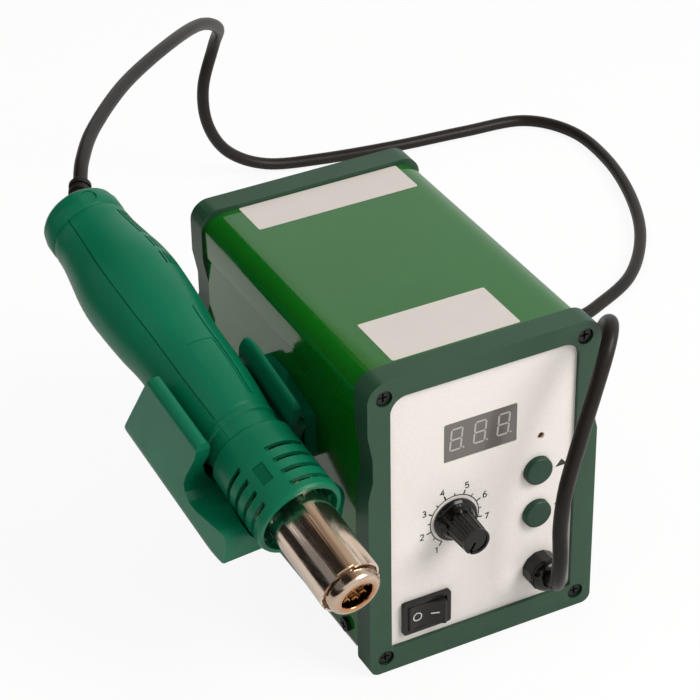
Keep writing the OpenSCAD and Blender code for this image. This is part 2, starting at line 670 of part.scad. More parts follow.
module vent_collar() color("seagreen") on_axis(0) {
  difference() {
    union() {
      translate([0, 0, col_t0]) cylinder(h = 1.2, r1 = collar_r - 0.6, r2 = collar_r);
      translate([0, 0, col_t0 + 1.2]) cylinder(h = collar_l - 2.2, r1 = collar_r, r2 = col_rear);
      translate([0, 0, col_t1 - 1]) cylinder(h = 1, r1 = col_rear, r2 = col_rear - 0.7);
      translate([0, 0, col_t1 - 1]) cylinder(h = 9.5, r = neck_in - 0.06);
    }
    translate([0, 0, col_t0 - 1]) cylinder(h = collar_l - 1.5, r = collar_r - 2.2);
    translate([0, 0, col_t0]) cylinder(h = collar_l + 20, r = tube_r);
    for (g = [0, 180]) for (k = [0 : 3]) {
      translate([0, 0, col_t0 + 4 + k * 6]) spin(mid - 19.5 + g)
        rotate_extrude(angle = 63) translate([collar_r - 4, 0]) square([6, 2.1]);
      translate([0, 0, col_t0 + 4 + k * 6]) spin(mid + 82.5 + g)
        rotate_extrude(angle = 63) translate([collar_r - 4, 0]) square([6, 2.1]);
    }
    spin(mid) translate([collar_r - 0.9, -2.4, col_t0 + 10.6]) cube([3, 4.8, 8.8]);
  }
  for (i = [0 : 7]) spin(mid + 22.5 + i * 45)
    translate([shield_r + 0.6, -0.6, col_t0 + 3])
    cube([collar_r - shield_r - 2.3, 1.2, collar_l - 5.6]);
}
module heat_shield() color("lightgray") on_axis(0)
  ring(col_t0 + 9, col_t1 - 5.1, tube_r + 0.5, shield_r);
module tube_flange() color("silver") on_axis(0)
  ring(col_t1 - 5, col_t1 - 2.6, tube_r - 0.15, collar_r - 3.7);
module heater_tube() color("silver") on_axis(0) {
  difference() {
    union() {
      ring(0, tube_out - 1, tube_r - 0.8, tube_r);
      ring(tube_out - 1.5, col_t1 + 8, tube_r - 0.8, tube_r - 0.2);
    }
    for (a = [18 : 90 : 288]) spin(a) translate([tube_r - 3, -3.5, -1]) cube([6, 7, 2]);
  }
}
module tube_end_ring() color("silver") on_axis(0) {
  r = tube_r - 1.9;
  e = 2.8;
  rotate_extrude() polygon(concat([[tube_r - 0.85, 7], [tube_r - 0.85, 2.2], [r, 1.4]],
    [for (a = [0 : 15 : 90]) [r - e + e * cos(a), e - dome_out - e * sin(a)]],
    [[outlet_r + 0.5, 0.1 - dome_out], [outlet_r, 0.7 - dome_out], [outlet_r + 0.3, 1.3 - dome_out]],
    [for (a = [90 : -15 : 0]) [r - e + (e - 0.9) * cos(a), e - dome_out - (e - 0.9) * sin(a)]],
    [[r - 0.9, 1.8], [tube_r - 1.75, 2.6], [tube_r - 1.75, 7]]));
}
module mica_sleeve() color("tan") on_axis(0) ring(7.1, col_t1 + 6, tube_r - 1.8, tube_r - 0.85);
module heater_core() color("sienna") on_axis(0) difference() {
  union() {
    translate([0, 0, 1.5]) cylinder(h = col_t1, r = 3.2);
    for (i = [0 : 5]) spin(i * 60 + 10) translate([0, -0.7, 1.5]) cube([tube_r - 5.2, 1.4, 8]);
    for (i = [0 : 5]) spin(i * 60 + 10) translate([0, -0.7, 7.2]) cube([tube_r - 3.4, 1.4, col_t1 - 6.7]);
    translate([0, 0, col_t1 + 1]) cylinder(h = 2, r = tube_r - 1.9);
  }
  translate([0, 0, -1]) cylinder(h = 30, r = 1.5);
}
// Heater winding: one wire, its turns and their pitch
coil_n = 10;
coil_pitch = 5;
coil_r = tube_r - 2.7;
wire_r = 0.6;
coil_pts = [for (i = [0 : coil_n * 24])
  [coil_r * cos(i * 15), coil_r * sin(i * 15), 12 + i * coil_pitch / 24]];
module sweep(p, t, v, r, m) {
  n = len(p);
  polyhedron(points = [for (i = [0 : n - 1]) for (k = [0 : m - 1])
    p[i] + r * (cos(k * 360 / m) * v[i] + sin(k * 360 / m) * cross(t[i], v[i]))],
    faces = concat([[for (k = [0 : m - 1]) k]],
    [for (i = [0 : n - 2]) for (k = [0 : m - 1]) [i * m + k, (i + 1) * m + k, (i + 1) * m + (k + 1) % m]],
    [for (i = [0 : n - 2]) for (k = [0 : m - 1])
      [i * m + k, (i + 1) * m + (k + 1) % m, i * m + (k + 1) % m]],
    [[for (k = [m - 1 : -1 : 0]) (n - 1) * m + k]]));
}
module heater_coil() color("chocolate") on_axis(0) {
  t = [for (i = [0 : coil_n * 24])
    unit([-coil_r * sin(i * 15), coil_r * cos(i * 15), coil_pitch / (2 * PI)])];
  v = [for (i = [0 : coil_n * 24]) [cos(i * 15), sin(i * 15), 0]];
  sweep(coil_pts, t, v, wire_r, 6);
}
// Least gap between its turns, over every pair of points at least half a turn apart
winding_gap = min([for (i = [0 : len(coil_pts) - 13]) for (j = [i + 12 : len(coil_pts) - 1])
  norm(coil_pts[i] - coil_pts[j])]) - 2 * wire_r;
echo(winding_gap = winding_gap);

module shell_profile() {
  polygon(concat(neck_out, shell_out, [for (i = [len(shell_in) - 1 : -1 : 0]) shell_in[i]],
    [neck_inside[1], neck_inside[0]]));
}
module shell_solid() {
  rotate_extrude() polygon(concat([[0, sh_t0]], neck_out, shell_out, [[0, sh_t1]]));
}
module shell_slits(a) {
  for (g = [[85, 92], [95, 102.5], [105, 122]]) for (k = [-3 : 3]) spin(a + k * 6)
    translate([collar_r - 4, -0.55, sh_t0 + g[0]]) cube([8, 1.1, g[1] - g[0]]);
}
// Posts across the seam: from d0 to d1 on the side of the inner shell
module seam_post(d0, d1, r) {
  for (t = hs_t) spin(seam) translate([hs_s, d0, t]) rotate([-90, 0, 0]) cylinder(h = d1 - d0, r = r);
}
// Shallow field for a label: the skin of the shell, on part of its length and its turn
label_t = [sh_t0 + 14, sh_t0 + 44.5];
label_deep = 0.25;
label_out = [for (q = shell_out) if (q[1] > label_t[0] && q[1] < label_t[1]) q];
module label_field() {
  spin(103) rotate_extrude(angle = 36) polygon(concat([for (q = label_out) [q[0] - label_deep, q[1]]],
    [[collar_r + 5, label_t[1]], [collar_r + 5, label_t[0]]]));
}
// A layer of the shell's skin: from a over its outline to b under it
module skin(p, a, b) {
  rotate_extrude() polygon(concat([for (q = p) [q[0] + a, q[1]]],
    [for (i = [len(p) - 1 : -1 : 0]) [p[i][0] - b, p[i][1]]]));
}
// Raised line beside the label
line_out = [for (q = shell_out) if (q[1] > label_t[0] && q[1] < sh_t0 + 62) q];
module raised_line() {
  intersection() {
    skin(line_out, 0.45, 1);
    spin(62) translate([0, -0.6, 0]) cube([40, 1.2, 300]);
  }
}
// Groove along the seam
module seam_groove() {
  intersection() {
    skin(shell_out, 1, 0.5);
    spin(seam) translate([-60, -0.25, -20]) cube([120, 0.5, 300]);
  }
}
module shell_inner() color("seagreen") on_axis(0) {
  difference() {
    intersection() {
      union() {
        rotate_extrude() shell_profile();
        raised_line();
        intersection() {
          shell_solid();
          seam_post(-1, 30, 3);
        }
      }
      spin(seam) translate([-60, seat, -20]) cube([120, 60, 300]);
    }
    shell_slits(seam - 90);
    seam_groove();
    label_field();
    seam_post(-1, 8, 1.3);
  }
}
module shell_outer() color("seagreen") on_axis(0) {
  difference() {
    intersection() {
      union() {
        rotate_extrude() shell_profile();
        intersection() {
          shell_solid();
          seam_post(-30, 1, 4.4);
        }
      }
      spin(seam + 180) translate([-60, seat, -20]) cube([120, 60, 300]);
    }
    shell_slits(seam + 90);
    seam_groove();
    seam_post(-30, 1, 1.4);
    seam_post(-30, -6, 3.2);
  }
}
module handle_screws() color("dimgray") on_axis(0) {
  for (t = hs_t) spin(seam) translate([hs_s, -8.05, t]) rotate([-90, 0, 0]) {
    cross_head(2.8, 2);
    translate([0, 0, 1.9]) cylinder(h = 13, r = 1.25);
  }
}
module tail_cap() color("seagreen") on_axis(0) {
  r = collar_r - 1.2;
  difference() {
    rotate_extrude() polygon(concat([[r - 4.8, sh_t1 - 6], [r - 2.6, sh_t1 - 6], [r - 2.6, sh_t1 + seat],
      [r - 0.7, sh_t1 + seat], [r, sh_t1 + 1.5], [r, sh_t1 + 6.2], [r - 0.45, sh_t1 + 6.5]],
      [for (a = [0 : 15 : 90]) [5 + (r - 5.45) * cos(a), sh_t1 + 8 + 6 * sin(a)]],
      [[0, cap_t1], [0, sh_t1 + 6], [r - 4.8, sh_t1 + 6]]));
    translate([boot_u, 0, boot_t]) rotate([0, boot_turn, 0]) translate([0, 0, -10])
      cylinder(h = 50, r = boot_r + seat);
    spin(88) translate([r - 0.9, 0, sh_t1 + 5]) rotate([0, 90, 0]) cylinder(h = 3, r = 3.2);
  }
}
module cable_boot() color("black") on_axis(boot_t) translate([boot_u, 0, 0]) rotate([0, boot_turn, 0]) {
  cylinder(h = 14, r = boot_r);
  cylinder(h = boot_l, r = boot_r - 1.3);
  for (k = [0 : 2]) translate([0, 0, boot_l - 10.5 + k * 3.6]) cylinder(h = 2.2, r = boot_r - 0.3);
}
module fan_housing() color("dimgray") on_axis(0) {
  ring(fan_t - 3, fan_t + 22, fan_ring, fan_ring + 1.9);
  ring(fan_t + 16, fan_t + 20, motor_r + seat, motor_r + 1.6);
  for (i = [0 : 2]) spin(i * 120 + seam) translate([motor_r + 1, -1, fan_t + 16.5])
    cube([fan_ring - motor_r - 0.5, 2, 3]);
}
module fan_motor() color("silver") on_axis(fan_t) difference() {
  translate([0, 0, 12]) cylinder(h = 18, r = motor_r);
  translate([0, 0, 11]) cylinder(h = 15, r = 1.25);
}
module fan_impeller() color("black") on_axis(fan_t) {
  cylinder(h = 9, r = 4.5);
  cylinder(h = 25, r = 1.2);
  for (i = [0 : 6]) spin(i * 360 / 7) translate([3.5, 0, 4.5]) rotate([35, 0, 0])
    translate([0, -5, -0.6]) cube([fan_r - 4.2, 10, 1.2]);
}
module handle_board() color("darkgreen") in_handle() {
  w = collar_r - 7;
  blk(-w, w, sh_t0 + 22, sh_t0 + 62, 7.8, 9.4);
  blk(2, 7, sh_t0 + 30, sh_t0 + 38, 5, 7.9);
  translate([5, sh_t0 + 58, 6.6]) rotate([90, 0, 0]) cylinder(h = 14, r = 1.3);
}

// Cable of the handset

cord_line = smooth(cord_pts, 2);
cord_n = len(cord_line);
function unit(v) = v / norm(v);
cord_t = [for (i = [0 : cord_n - 1]) i == 0 ? [0, -1, 0] : i == cord_n - 1 ? -boot_dir
  : unit(cord_line[i + 1] - cord_line[i - 1])];
function carry(v, t) = unit(v - t * (v * t));
cord_v = [for (i = 0, v = [1, 0, 0]; i < cord_n; i = i + 1, v = i < cord_n ? carry(v, cord_t[i]) : v) v];
module cable() color("black") sweep(cord_line, cord_t, cord_v, cable_r, cable_sides);

// Every piece by name
// The piece that is drawn

front_bezel();
rear_bezel();
front_screws();
rear_screws();
front_panel();
rear_panel();
case_cover();
base_tray();
cover_screws();
base_pad();
display_window();
display_module();
control_board();
board_pillars();
tact_switches();
up_button();
down_button();
pot_body();
pot_nut();
pot_shaft();
air_knob();
trimmer_body();
cal_trimmer();
rocker_frame();
rocker();
cable_gland();
gland_nut();
mains_gland();
mains_nut();
main_board();
board_posts();
transformer_core();
transformer_coil();
heatsink();
board_parts();
holder();
holder_screws();
holder_magnet();
vent_collar();
heat_shield();
tube_flange();
heater_tube();
tube_end_ring();
mica_sleeve();
heater_core();
heater_coil();
shell_inner();
shell_outer();
handle_screws();
tail_cap();
cable_boot();
fan_housing();
fan_motor();
fan_impeller();
handle_board();
cable();
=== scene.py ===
import json
import math
import bmesh
import bpy
from mathutils import Matrix, Vector


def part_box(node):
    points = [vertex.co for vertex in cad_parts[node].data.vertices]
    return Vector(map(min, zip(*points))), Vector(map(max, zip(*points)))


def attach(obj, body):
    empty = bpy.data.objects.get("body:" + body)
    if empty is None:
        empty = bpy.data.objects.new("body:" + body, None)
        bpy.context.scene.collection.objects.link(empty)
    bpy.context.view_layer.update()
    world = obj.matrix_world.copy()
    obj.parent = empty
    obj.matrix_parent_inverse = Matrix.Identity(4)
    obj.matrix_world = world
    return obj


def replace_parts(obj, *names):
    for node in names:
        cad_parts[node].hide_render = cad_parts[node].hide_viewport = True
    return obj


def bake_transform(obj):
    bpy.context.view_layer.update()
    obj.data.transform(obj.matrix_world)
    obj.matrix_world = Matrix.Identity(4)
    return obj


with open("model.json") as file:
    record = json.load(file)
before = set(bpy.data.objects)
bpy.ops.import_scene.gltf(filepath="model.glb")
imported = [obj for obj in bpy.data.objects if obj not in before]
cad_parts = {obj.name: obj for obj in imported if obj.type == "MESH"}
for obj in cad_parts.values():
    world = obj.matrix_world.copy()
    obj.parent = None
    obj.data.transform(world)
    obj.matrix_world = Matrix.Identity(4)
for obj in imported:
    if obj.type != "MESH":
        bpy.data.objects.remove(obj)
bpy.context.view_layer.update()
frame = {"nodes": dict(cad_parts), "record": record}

# Sizes here are millimetres and degrees, as in the part's source; MM turns them into Blender's metres.
MM = 0.001
NODES = frame["nodes"]
BODY = {n: b for b, ns in frame["record"]["behaviour"]["bodies"].items() for n in ns}
SLOT = {p["node"]: p["material_slot"] for p in frame["record"]["subparts"]}
scene = bpy.context.scene

# Handset frame, as in the part's source: tip of the heat tube, and the axes across, along and up
YAW, TILT = math.radians(5.2), math.radians(16)
AX_U = Vector((math.cos(YAW), math.sin(YAW), 0))
AX_T = Vector((-math.sin(YAW) * math.cos(TILT), math.cos(YAW) * math.cos(TILT), math.sin(TILT)))
AX_N = AX_U.cross(AX_T)
TIP = Vector((-73.1, -105.6, 74.5))
# Front of the front panel
PANEL_Y = -74.3


# Materials

# Depth of the bump in metres, how far the roughness drifts either way, and its least value
BUMP_DEPTH, GLOSS_DRIFT, ROUGH_LEAST = 0.00008, 0.06, 0.02
# Detail of the noise for patches and for grain
PATCH_DETAIL, GRAIN_DETAIL = 4, 3
# Lighter corners, partly wear and partly a painted highlight on the edges: the colour times a factor, with a
# little white
CORNER_GAIN, CORNER_WHITE = 1.9, 0.02
# Parts of the noise and of the pointiness that colour patches, gloss, specks and the lighter corners (wear
# and painted highlight) use
PATCH_BAND, SPECK_BAND, CORNER_BAND = (0.3, 0.7), (0.4, 0.65), (0.52, 0.6)
# Heat tint of the outlet: metres from the handset's axis where it starts and where it is full, and its share
TINT_BAND, TINT_SHARE = (0.0092, 0.0064), 0.85


def rgb(r, g, b):
    """A colour written as it looks on screen, 0 to 255, as linear light."""
    return tuple(((v / 255 + 0.055) / 1.055) ** 2.4 if v > 10 else v / 255 / 12.92 for v in (r, g, b))


def material(name, colour, rough=0.45, metal=0.0, tone=0.12, patch=45, grain=900, bump=0.06, spec=0.5,
             stretch=(1, 1, 1), edge=0.0, speck=0.0, tint=None):
    """Colour that drifts in soft patches, a fine grain in the bump, and a gloss that varies. edge lightens
    corners, as wear and as a painted highlight, speck darkens the grain, and tint is a colour that comes in
    towards the handset's axis."""
    m = bpy.data.materials.new(name)
    m.use_nodes = True
    t = m.node_tree
    t.nodes.clear()
    out = t.nodes.new("ShaderNodeOutputMaterial")
    s = t.nodes.new("ShaderNodeBsdfPrincipled")
    t.links.new(s.outputs[0], out.inputs[0])
    s.inputs["Metallic"].default_value = metal
    s.inputs["Specular IOR Level"].default_value = spec
    co = t.nodes.new("ShaderNodeTexCoord")
    mp = t.nodes.new("ShaderNodeMapping")
    mp.inputs["Scale"].default_value = stretch
    t.links.new(co.outputs["Object"], mp.inputs[0])

    def noise(scale, detail):
        n = t.nodes.new("ShaderNodeTexNoise")
        n.inputs["Scale"].default_value = scale
        n.inputs["Detail"].default_value = detail
        t.links.new(mp.outputs[0], n.inputs["Vector"])
        return n

    def blend_in(under, over, factor):
        x = t.nodes.new("ShaderNodeMix")
        x.data_type = "RGBA"
        t.links.new(factor, x.inputs["Factor"])
        t.links.new(under, x.inputs["A"])
        x.inputs["B"].default_value = (*over, 1)
        return x.outputs["Result"]

    def ranged(value, band, a, b):
        r = t.nodes.new("ShaderNodeMapRange")
        r.inputs["From Min"].default_value, r.inputs["From Max"].default_value = band
        r.inputs["To Min"].default_value = a
        r.inputs["To Max"].default_value = b
        t.links.new(value, r.inputs[0])
        return r.outputs[0]

    big, fine = noise(patch, PATCH_DETAIL), noise(grain, GRAIN_DETAIL)
    ramp = t.nodes.new("ShaderNodeValToRGB")
    dark, light = ramp.color_ramp.elements
    dark.position, light.position = PATCH_BAND
    dark.color = (*[c * (1 - tone) for c in colour], 1)
    light.color = (*[min(1, c * (1 + tone)) for c in colour], 1)
    t.links.new(big.outputs[0], ramp.inputs[0])
    base = ramp.outputs[0]
    if speck:
        base = blend_in(base, [c * (1 - speck) for c in colour],
                        ranged(fine.outputs[0], SPECK_BAND, 0, 1))
    # Corners lighter by pointiness: partly wear, partly a painted highlight along the edges
    if edge:
        g = t.nodes.new("ShaderNodeNewGeometry")
        base = blend_in(base, [min(1, c * CORNER_GAIN + CORNER_WHITE) for c in colour],
                        ranged(g.outputs["Pointiness"], CORNER_BAND, 0, edge))
    if tint:
        v = [t.nodes.new("ShaderNodeVectorMath") for _ in range(3)]
        v[0].operation, v[1].operation, v[2].operation = "SUBTRACT", "CROSS_PRODUCT", "LENGTH"
        v[0].inputs[1].default_value = TIP * MM
        v[1].inputs[1].default_value = AX_T
        t.links.new(co.outputs["Object"], v[0].inputs[0])
        t.links.new(v[0].outputs[0], v[1].inputs[0])
        t.links.new(v[1].outputs[0], v[2].inputs[0])
        base = blend_in(base, tint, ranged(v[2].outputs["Value"], TINT_BAND, 0, TINT_SHARE))
    t.links.new(base, s.inputs["Base Color"])
    gloss = ranged(fine.outputs[0], PATCH_BAND, max(ROUGH_LEAST, rough - GLOSS_DRIFT),
                   min(1, rough + GLOSS_DRIFT))
    t.links.new(gloss, s.inputs["Roughness"])
    b = t.nodes.new("ShaderNodeBump")
    b.inputs["Strength"].default_value = bump
    b.inputs["Distance"].default_value = BUMP_DEPTH
    t.links.new(fine.outputs[0], b.inputs["Height"])
    t.links.new(b.outputs[0], s.inputs["Normal"])
    return m


LOOKS = {
    "frame_green": dict(colour=rgb(20, 59, 37), rough=0.48, tone=0.1, grain=1500, bump=0.18, edge=0.5,
                        spec=0.45),
    "case_green": dict(colour=rgb(8, 92, 16), rough=0.12, tone=0.08, patch=20, grain=500, bump=0.03),
    "panel_white": dict(colour=rgb(233, 228, 223), tone=0.02, patch=25, grain=1700, bump=0.05, speck=0.06),
    "screw_black": dict(colour=rgb(30, 30, 30), rough=0.35, metal=0.6, grain=2500, bump=0.15),
    "bright_steel": dict(colour=rgb(196, 196, 198), rough=0.3, metal=1, stretch=(1, 12, 1)),
    "heatsink_alloy": dict(colour=rgb(205, 206, 208), rough=0.35, metal=1, stretch=(1, 1, 10)),
    "black_satin": dict(colour=rgb(25, 22, 20), rough=0.42, grain=1800, bump=0.15, edge=0.2, spec=0.3),
    "black_gloss": dict(colour=rgb(10, 9, 8), rough=0.14, grain=1200, bump=0.05, spec=0.3),
    "button_green": dict(colour=rgb(12, 52, 34), rough=0.42, grain=2000, bump=0.12, spec=0.35),
    "handle_green": dict(colour=rgb(2, 101, 71), rough=0.36, tone=0.06, patch=30, grain=1700, bump=0.1,
                         edge=0.15, spec=0.2),
    # Floor of the collar's recess: darker than the handle's green, as painted shade of the recess
    "recess_green": dict(colour=rgb(1, 84, 57), rough=0.3, tone=0.04, patch=60, bump=0.03, spec=0.1),
    "window_dark": dict(colour=rgb(102, 97, 94), rough=0.15, tone=0.05, grain=600, bump=0.02),
    "board_green": dict(colour=rgb(24, 92, 52), rough=0.35, patch=200),
    "tube_chrome": dict(colour=rgb(214, 196, 180), rough=0.18, metal=1, tone=0.05, grain=700, bump=0.04,
                        stretch=(1, 0.08, 1)),
    "mica": dict(colour=rgb(170, 150, 110), rough=0.5, patch=300),
    "ceramic_dark": dict(colour=rgb(96, 62, 36), rough=0.6, tone=0.45, patch=350),
    "burnt_gold": dict(colour=rgb(176, 120, 60), rough=0.35, metal=0.6, tone=0.5, patch=420, grain=1800,
                       bump=0.3),
    "copper": dict(colour=rgb(196, 120, 78), rough=0.3, metal=1, tone=0.2, patch=250),
    "trimmer_brass": dict(colour=rgb(205, 150, 70), rough=0.28, metal=1, tone=0.15, patch=400),
    "trimmer_blue": dict(colour=rgb(40, 70, 150), rough=0.3),
    "core_iron": dict(colour=rgb(70, 70, 74), rough=0.5, metal=0.7, grain=700, stretch=(1, 8, 1)),
    "rubber_black": dict(colour=rgb(27, 23, 20), rough=0.4, tone=0.15, patch=120, grain=1500, bump=0.08,
                         spec=0.2),
    "tube_tint": dict(colour=rgb(188, 168, 150), rough=0.2, metal=1, tone=0.1, patch=160, grain=700,
                      bump=0.05, tint=rgb(176, 112, 46)),
    "paper": dict(colour=rgb(200, 194, 189), rough=0.55, tone=0.02, patch=60, grain=2200, bump=0.08),
    "ink": dict(colour=rgb(30, 27, 26), rough=0.5, tone=0.1, patch=300, grain=2500, bump=0.05),
    "mark_white": dict(colour=rgb(205, 202, 198), rough=0.5, tone=0.04, patch=300, grain=2500, bump=0.05),
    "segment": dict(colour=rgb(176, 168, 163), rough=0.35, tone=0.05, patch=300, grain=2000, bump=0.05),
    "floor": dict(colour=rgb(246, 246, 246), rough=0.6, tone=0.005, patch=3, grain=300, bump=0.02),
}
MAT = {name: material(name, **look) for name, look in LOOKS.items()}


def paint(obj, name):
    obj.data.materials.clear()
    obj.data.materials.append(MAT[name])


def new_mesh(name, bm, mat, body, smooth=35):
    """An object made of bm, shaded smooth up to that angle; it rides on a body and takes a slot if given."""
    me = bpy.data.meshes.new(name)
    bm.normal_update()
    bm.to_mesh(me)
    bm.free()
    obj = bpy.data.objects.new(name, me)
    scene.collection.objects.link(obj)
    paint(obj, mat)
    me.polygons.foreach_set("use_smooth", [True] * len(me.polygons))
    me.set_sharp_from_angle(angle=math.radians(smooth))
    if body:
        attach(obj, body)
    return obj


# Camera, as solved from the photograph: its angles, the point it looks at and how far away it stands
AZIMUTH, ELEVATION, ROLL = math.radians(-27.233), math.radians(33.472), math.radians(-0.989)
LOOK_AT, DISTANCE = Vector((3.53, 40.78, 68.01)), 1080.87
# Its focal length and the picture's width in pixels, the width of its sensor, and how many metres it sees
FOCAL_PIXELS, FRAME_PIXELS, SENSOR, CLIP_END = 2601.1, 700, 36, 20

cam = bpy.data.objects.new("camera", bpy.data.cameras.new("camera"))
scene.collection.objects.link(cam)
back = Vector((math.sin(AZIMUTH) * math.cos(ELEVATION), -math.cos(AZIMUTH) * math.cos(ELEVATION),
               math.sin(ELEVATION)))
right = (-back).cross(Vector((0, 0, 1))).normalized()
up = right.cross(-back)
right, up = math.cos(ROLL) * right + math.sin(ROLL) * up, -math.sin(ROLL) * right + math.cos(ROLL) * up
eye = (LOOK_AT + back * DISTANCE) * MM
cam.matrix_world = Matrix(((right.x, up.x, back.x, eye.x), (right.y, up.y, back.y, eye.y),
                           (right.z, up.z, back.z, eye.z), (0, 0, 0, 1)))
cam.data.sensor_width = SENSOR
cam.data.lens = SENSOR * FOCAL_PIXELS / FRAME_PIXELS
cam.data.clip_end = CLIP_END
scene.camera = cam


# Cable of the handset, along the route of the part's source

def spline(p, n):
    """A smooth curve through the points, with n steps between each two."""
    out = []
    for i in range(len(p) - 1):
        a, b, c, d = p[max(i - 1, 0)], p[i], p[i + 1], p[min(i + 2, len(p) - 1)]
        for k in range(n):
            f = k / n
            out.append(0.5 * (2 * b + (c - a) * f + (2 * a - 5 * b + 4 * c - d) * f * f
                              + (3 * b - a - 3 * c + d) * f ** 3))
    return out + [p[-1]]


def tube(path, radius, sides, first, last):
    """A closed tube along the path; first and last are its directions at the two ends."""
    bm = bmesh.new()
    side = Vector((1, 0, 0))
    rings = []
    for i, q in enumerate(path):
        t = first if i == 0 else last if i == len(path) - 1 else (path[i + 1] - path[i - 1]).normalized()
        side = (side - t * side.dot(t)).normalized()
        over = t.cross(side)
        rings.append([bm.verts.new(q + radius * (math.cos(a) * side + math.sin(a) * over))
                      for a in (math.tau * k / sides for k in range(sides))])
    for r, s in zip(rings, rings[1:]):
        for k in range(sides):
            bm.faces.new((r[k], r[(k + 1) % sides], s[(k + 1) % sides], s[k]))
    bm.faces.new(rings[0][::-1])
    bm.faces.new(rings[-1])
    return bm


CABLE_R, CABLE_SIDES, CABLE_STEPS = 3.0, 20, 8
# Height of the cable's middle where it lies on the bench
BENCH = 2.9
# Boot: its turn off the handset's axis, where it starts along and across the handset, and its length
BOOT_TURN, BOOT_T, BOOT_U, BOOT_L = math.radians(30), 203, 3, 26.05
BOOT = AX_T * math.cos(BOOT_TURN) + AX_U * math.sin(BOOT_TURN)
CORD_END = TIP + AX_T * BOOT_T - AX_U * BOOT_U + BOOT * BOOT_L
CORD = [(26.3, -82.75, 25.2), (25.6, -86.2, 26.2), (24.2, -90.2, 28.4), (21.8, -95.6, 33), (20, -99, 40),
        (19.4, -100.6, 49.8), (19.6, -99.6, 63.6), (21.8, -99, 80), (28, -97.2, 98.2), (34.6, -95.6, 116.4),
        (40.4, -93.4, 130.4), (46.6, -87.2, 136), (51.6, -78.8, 134.4), (55, -69, 124.5), (58, -54, 98),
        (62, -32, 60), (66, -16, 36), (72, 0, 18), (81, 20, 6.5), (95, 46, BENCH), (137, 92, BENCH),
        (166, 104, BENCH), (196, 120, BENCH), (221, 149, BENCH), (238, 184, BENCH), (248, 222, BENCH),
        (248, 256, BENCH), (232, 279, BENCH), (198, 284, BENCH), (158, 288, BENCH), (118, 295, BENCH),
        (90, 300, 5.5), (70, 302, 17), (59, 301, 36), (57, 300, 58), (62, 296, 82), (58, 281, 99),
        (38, 257, 116), (8, 224, 128), (-30, 186, 135), (-60, 150, 138), (-75.5, 126, 138.3)]
path = [q * MM for q in spline([Vector(q) for q in CORD] + [CORD_END], CABLE_STEPS)]
cable = new_mesh("handset_cable", tube(path, CABLE_R * MM, CABLE_SIDES, Vector((0, -1, 0)), -BOOT),
                 "rubber_black", None)
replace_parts(cable, "cable")
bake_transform(cable)


# Moulded, turned and pressed edges: copies of the CAD pieces with their sharp edges rounded

# Distance in metres at which points are welded, and the angle under which faces count as flat
WELD, FLAT = 2e-6, math.radians(0.6)


def soften(node, width, segments=2, angle=34, mat=None, shape=None, smooth=35):
    """Replaces a node by a copy whose edges over the angle are rounded; shape may change the mesh first."""
    bm = bmesh.new()
    bm.from_mesh(NODES[node].data)
    bm.transform(NODES[node].matrix_world)
    bmesh.ops.remove_doubles(bm, verts=bm.verts, dist=WELD)
    bmesh.ops.dissolve_limit(bm, angle_limit=FLAT, verts=bm.verts, edges=bm.edges)
    if shape:
        shape(bm)
    obj = new_mesh("soft_" + node, bm, mat or SLOT[node], BODY[node], smooth)
    b = obj.modifiers.new("edge", "BEVEL")
    b.width = width * MM
    b.segments = segments
    b.limit_method = "ANGLE"
    b.angle_limit = math.radians(angle)
    b.harden_normals = True
    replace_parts(obj, node)


# The holder's ear beside the case: the inner face, the slack in finding it, and the share of its thickness
# that goes; where it starts and ends along the handset; how far it leans in and reaches back at both ends
EAR_IN, EAR_SLACK, EAR_CUT = 19.8, 0.2, 0.5
EAR_T0, EAR_T1 = 70.2, 107.9
EAR_LEAN, EAR_BACK = (2.2, 0.9), (2, 5.5)
# Its rear top corner: start and length of the round, and how far the corner drops
ROUND_T, ROUND_L, ROUND_DROP = 98, 10, 5
# Heights over which slimming, reach and drop come in
EASE_CUT, EASE_BACK, EASE_DROP = 4, 12, 10
# Extra cuts, so that there are points to move, and the metres within which a cut keeps to a point
EAR_ROWS, EAR_COLUMNS, CUT_SNAP = (0, 2, 4, 8, 12), (99, 101, 103, 104.5, 105.7), 1e-7


def slim_ear(bm):
    """The holder's ear beside the case is thinner than the one that faces out, and leans."""
    for axis, cuts in ((AX_N, EAR_ROWS), (AX_T, EAR_COLUMNS)):
        for at in cuts:
            bmesh.ops.bisect_plane(bm, geom=bm.verts[:] + bm.edges[:] + bm.faces[:],
                                   plane_co=(TIP + axis * at) * MM, plane_no=axis, dist=CUT_SNAP)
    for v in bm.verts:
        q = v.co / MM - TIP
        u, n, t = q.dot(AX_U), q.dot(AX_N), q.dot(AX_T)
        if u > EAR_IN - EAR_SLACK and n > 0:
            rear = min(1, max(0, (t - EAR_T0) / (EAR_T1 - EAR_T0)))
            lean = EAR_LEAN[0] + (EAR_LEAN[1] - EAR_LEAN[0]) * rear
            reach = EAR_BACK[0] + (EAR_BACK[1] - EAR_BACK[0]) * rear
            drop = ROUND_DROP * (1 - math.sqrt(max(0, 1 - max(0, (t - ROUND_T) / ROUND_L) ** 2)))
            v.co -= AX_U * MM * min(1, n / EASE_CUT) * ((u - EAR_IN) * EAR_CUT + lean)
            v.co += AX_T * MM * min(1, n / EASE_BACK) * reach - AX_N * MM * min(1, n / EASE_DROP) * drop


for node, obj in NODES.items():
    paint(obj, SLOT[node])
ROUNDED = {
    "front_bezel": 0.7, "rear_bezel": 0.7, "tail_cap": 0.5, "air_knob": 0.2, "rocker": 0.3,
    "rocker_frame": 0.4, "mains_gland": 0.4, "heater_tube": 0.12, "cable_boot": 0.3, "front_panel": 0.1,
    "rear_panel": 0.1, "front_screws": 0.15, "rear_screws": 0.15, "cover_screws": 0.15,
}
for node, width in ROUNDED.items():
    soften(node, width)
soften("cable_gland", 0.5, segments=3, angle=24, mat="black_gloss", smooth=28)
soften("tube_end_ring", 0.12, mat="tube_tint")
soften("holder", 0.9, shape=slim_ear)


# Cover: the lid's wide bends, and its lip over the lower sides

